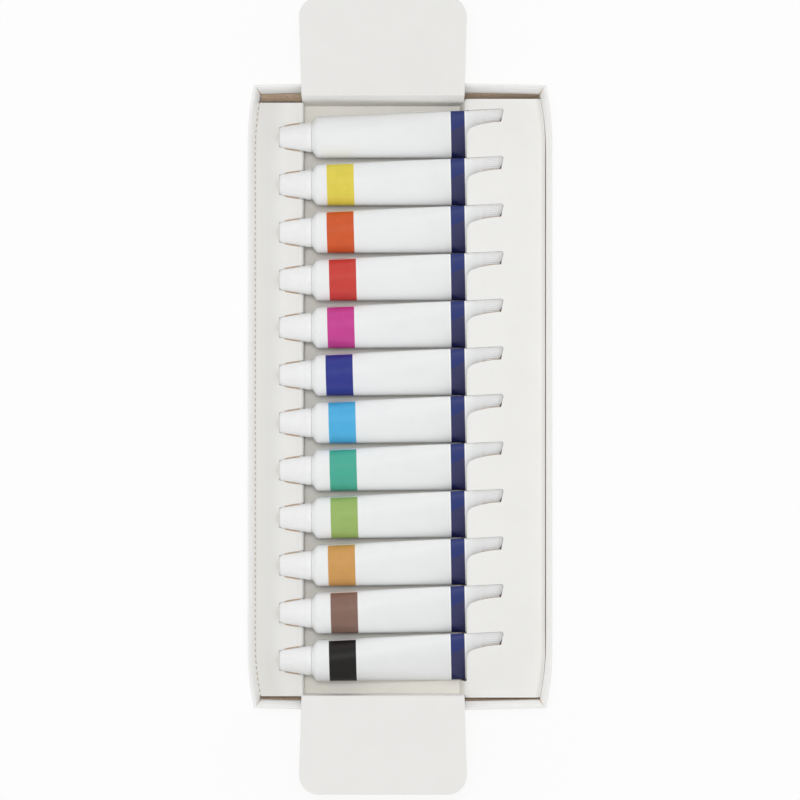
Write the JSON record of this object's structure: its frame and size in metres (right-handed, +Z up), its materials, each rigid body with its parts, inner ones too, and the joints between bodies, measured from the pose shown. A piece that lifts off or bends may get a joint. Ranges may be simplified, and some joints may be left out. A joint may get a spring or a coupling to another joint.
{
  "type": "watercolor tube set",
  "caption": "Open card tray with a folded insert, short end flaps and a row of white paint tubes lying across it, with screw caps.",
  "frame": {"origin": "centre of the tray's underside", "axes": "+X along the tubes from caps to tails, +Y along the tray, +Z up"},
  "size_m": [0.1166, 0.3038, 0.0273],
  "materials": {
    "white_card": "matte",
    "tube_enamel": "satin",
    "tube_shoulder": "satin",
    "cap_plastic": "satin",
    "paint_01": "gloss",
    "paint_02": "gloss",
    "paint_03": "gloss",
    "paint_04": "gloss",
    "paint_05": "gloss",
    "paint_06": "gloss",
    "paint_07": "gloss",
    "paint_08": "gloss",
    "paint_09": "gloss",
    "paint_10": "gloss",
    "paint_11": "gloss",
    "paint_12": "gloss"
  },
  "bodies": {
    "base": {"tray": "white_card", "insert": "white_card"},
    "top_flap": {"flap_top": "white_card"},
    "bottom_flap": {"flap_bottom": "white_card"},
    "tube_01": {"tube_01_sleeve": "tube_enamel", "tube_01_shoulder": "tube_shoulder", "tube_01_paint": "paint_01"},
    "tube_01_cap": {"tube_01_cap": "cap_plastic"},
    "tube_02": {"tube_02_sleeve": "tube_enamel", "tube_02_shoulder": "tube_shoulder", "tube_02_paint": "paint_02"},
    "tube_02_cap": {"tube_02_cap": "cap_plastic"},
    "tube_03": {"tube_03_sleeve": "tube_enamel", "tube_03_shoulder": "tube_shoulder", "tube_03_paint": "paint_03"},
    "tube_03_cap": {"tube_03_cap": "cap_plastic"},
    "tube_04": {"tube_04_sleeve": "tube_enamel", "tube_04_shoulder": "tube_shoulder", "tube_04_paint": "paint_04"},
    "tube_04_cap": {"tube_04_cap": "cap_plastic"},
    "tube_05": {"tube_05_sleeve": "tube_enamel", "tube_05_shoulder": "tube_shoulder", "tube_05_paint": "paint_05"},
    "tube_05_cap": {"tube_05_cap": "cap_plastic"},
    "tube_06": {"tube_06_sleeve": "tube_enamel", "tube_06_shoulder": "tube_shoulder", "tube_06_paint": "paint_06"},
    "tube_06_cap": {"tube_06_cap": "cap_plastic"},
    "tube_07": {"tube_07_sleeve": "tube_enamel", "tube_07_shoulder": "tube_shoulder", "tube_07_paint": "paint_07"},
    "tube_07_cap": {"tube_07_cap": "cap_plastic"},
    "tube_08": {"tube_08_sleeve": "tube_enamel", "tube_08_shoulder": "tube_shoulder", "tube_08_paint": "paint_08"},
    "tube_08_cap": {"tube_08_cap": "cap_plastic"},
    "tube_09": {"tube_09_sleeve": "tube_enamel", "tube_09_shoulder": "tube_shoulder", "tube_09_paint": "paint_09"},
    "tube_09_cap": {"tube_09_cap": "cap_plastic"},
    "tube_10": {"tube_10_sleeve": "tube_enamel", "tube_10_shoulder": "tube_shoulder", "tube_10_paint": "paint_10"},
    "tube_10_cap": {"tube_10_cap": "cap_plastic"},
    "tube_11": {"tube_11_sleeve": "tube_enamel", "tube_11_shoulder": "tube_shoulder", "tube_11_paint": "paint_11"},
    "tube_11_cap": {"tube_11_cap": "cap_plastic"},
    "tube_12": {"tube_12_sleeve": "tube_enamel", "tube_12_shoulder": "tube_shoulder", "tube_12_paint": "paint_12"},
    "tube_12_cap": {"tube_12_cap": "cap_plastic"}
  },
  "joints": [
    {"name": "top_flap_crease", "type": "hinge", "parent": "base", "child": "top_flap", "pos_m": [-0.0065, 0.11529, 0.02055], "axis": [-1, 0, 0], "range_deg": [-170, 0]},
    {"name": "bottom_flap_crease", "type": "hinge", "parent": "base", "child": "bottom_flap", "pos_m": [-0.0065, -0.11469, 0.02055], "axis": [1, 0, 0], "range_deg": [-170, 0]},
    {"name": "tube_01_tip", "type": "hinge", "parent": "base", "child": "tube_01", "pos_m": [0.0257, 0.09999, 0.0061], "axis": [0, 1, 0], "range_deg": [0, 7.5]},
    {"name": "tube_01_unscrew", "type": "hinge", "parent": "tube_01", "child": "tube_01_cap", "pos_m": [-0.034, 0.09999, 0.0098], "axis": [1, 0, 0], "range_deg": [0, 540]},
    {"name": "tube_02_tip", "type": "hinge", "parent": "base", "child": "tube_02", "pos_m": [0.0257, 0.08166, 0.0061], "axis": [0, 1, 0], "range_deg": [0, 7.5]},
    {"name": "tube_02_unscrew", "type": "hinge", "parent": "tube_02", "child": "tube_02_cap", "pos_m": [-0.034, 0.08166, 0.0098], "axis": [1, 0, 0], "range_deg": [0, 540]},
    {"name": "tube_03_tip", "type": "hinge", "parent": "base", "child": "tube_03", "pos_m": [0.0257, 0.06332, 0.0061], "axis": [0, 1, 0], "range_deg": [0, 7.5]},
    {"name": "tube_03_unscrew", "type": "hinge", "parent": "tube_03", "child": "tube_03_cap", "pos_m": [-0.034, 0.06332, 0.0098], "axis": [1, 0, 0], "range_deg": [0, 540]},
    {"name": "tube_04_tip", "type": "hinge", "parent": "base", "child": "tube_04", "pos_m": [0.0257, 0.04499, 0.0061], "axis": [0, 1, 0], "range_deg": [0, 7.5]},
    {"name": "tube_04_unscrew", "type": "hinge", "parent": "tube_04", "child": "tube_04_cap", "pos_m": [-0.034, 0.04499, 0.0098], "axis": [1, 0, 0], "range_deg": [0, 540]},
    {"name": "tube_05_tip", "type": "hinge", "parent": "base", "child": "tube_05", "pos_m": [0.0257, 0.02665, 0.0061], "axis": [0, 1, 0], "range_deg": [0, 7.5]},
    {"name": "tube_05_unscrew", "type": "hinge", "parent": "tube_05", "child": "tube_05_cap", "pos_m": [-0.034, 0.02665, 0.0098], "axis": [1, 0, 0], "range_deg": [0, 540]},
    {"name": "tube_06_tip", "type": "hinge", "parent": "base", "child": "tube_06", "pos_m": [0.0257, 0.00832, 0.0061], "axis": [0, 1, 0], "range_deg": [0, 7.5]},
    {"name": "tube_06_unscrew", "type": "hinge", "parent": "tube_06", "child": "tube_06_cap", "pos_m": [-0.034, 0.00832, 0.0098], "axis": [1, 0, 0], "range_deg": [0, 540]},
    {"name": "tube_07_tip", "type": "hinge", "parent": "base", "child": "tube_07", "pos_m": [0.0257, -0.01002, 0.0061], "axis": [0, 1, 0], "range_deg": [0, 7.5]},
    {"name": "tube_07_unscrew", "type": "hinge", "parent": "tube_07", "child": "tube_07_cap", "pos_m": [-0.034, -0.01002, 0.0098], "axis": [1, 0, 0], "range_deg": [0, 540]},
    {"name": "tube_08_tip", "type": "hinge", "parent": "base", "child": "tube_08", "pos_m": [0.0257, -0.02835, 0.0061], "axis": [0, 1, 0], "range_deg": [0, 7.5]},
    {"name": "tube_08_unscrew", "type": "hinge", "parent": "tube_08", "child": "tube_08_cap", "pos_m": [-0.034, -0.02835, 0.0098], "axis": [1, 0, 0], "range_deg": [0, 540]},
    {"name": "tube_09_tip", "type": "hinge", "parent": "base", "child": "tube_09", "pos_m": [0.0257, -0.04669, 0.0061], "axis": [0, 1, 0], "range_deg": [0, 7.5]},
    {"name": "tube_09_unscrew", "type": "hinge", "parent": "tube_09", "child": "tube_09_cap", "pos_m": [-0.034, -0.04669, 0.0098], "axis": [1, 0, 0], "range_deg": [0, 540]},
    {"name": "tube_10_tip", "type": "hinge", "parent": "base", "child": "tube_10", "pos_m": [0.0257, -0.06502, 0.0061], "axis": [0, 1, 0], "range_deg": [0, 7.5]},
    {"name": "tube_10_unscrew", "type": "hinge", "parent": "tube_10", "child": "tube_10_cap", "pos_m": [-0.034, -0.06502, 0.0098], "axis": [1, 0, 0], "range_deg": [0, 540]},
    {"name": "tube_11_tip", "type": "hinge", "parent": "base", "child": "tube_11", "pos_m": [0.0257, -0.08336, 0.0061], "axis": [0, 1, 0], "range_deg": [0, 7.5]},
    {"name": "tube_11_unscrew", "type": "hinge", "parent": "tube_11", "child": "tube_11_cap", "pos_m": [-0.034, -0.08336, 0.0098], "axis": [1, 0, 0], "range_deg": [0, 540]},
    {"name": "tube_12_tip", "type": "hinge", "parent": "base", "child": "tube_12", "pos_m": [0.0257, -0.10169, 0.0061], "axis": [0, 1, 0], "range_deg": [0, 7.5]},
    {"name": "tube_12_unscrew", "type": "hinge", "parent": "tube_12", "child": "tube_12_cap", "pos_m": [-0.034, -0.10169, 0.0098], "axis": [1, 0, 0], "range_deg": [0, 540]}
  ]
}
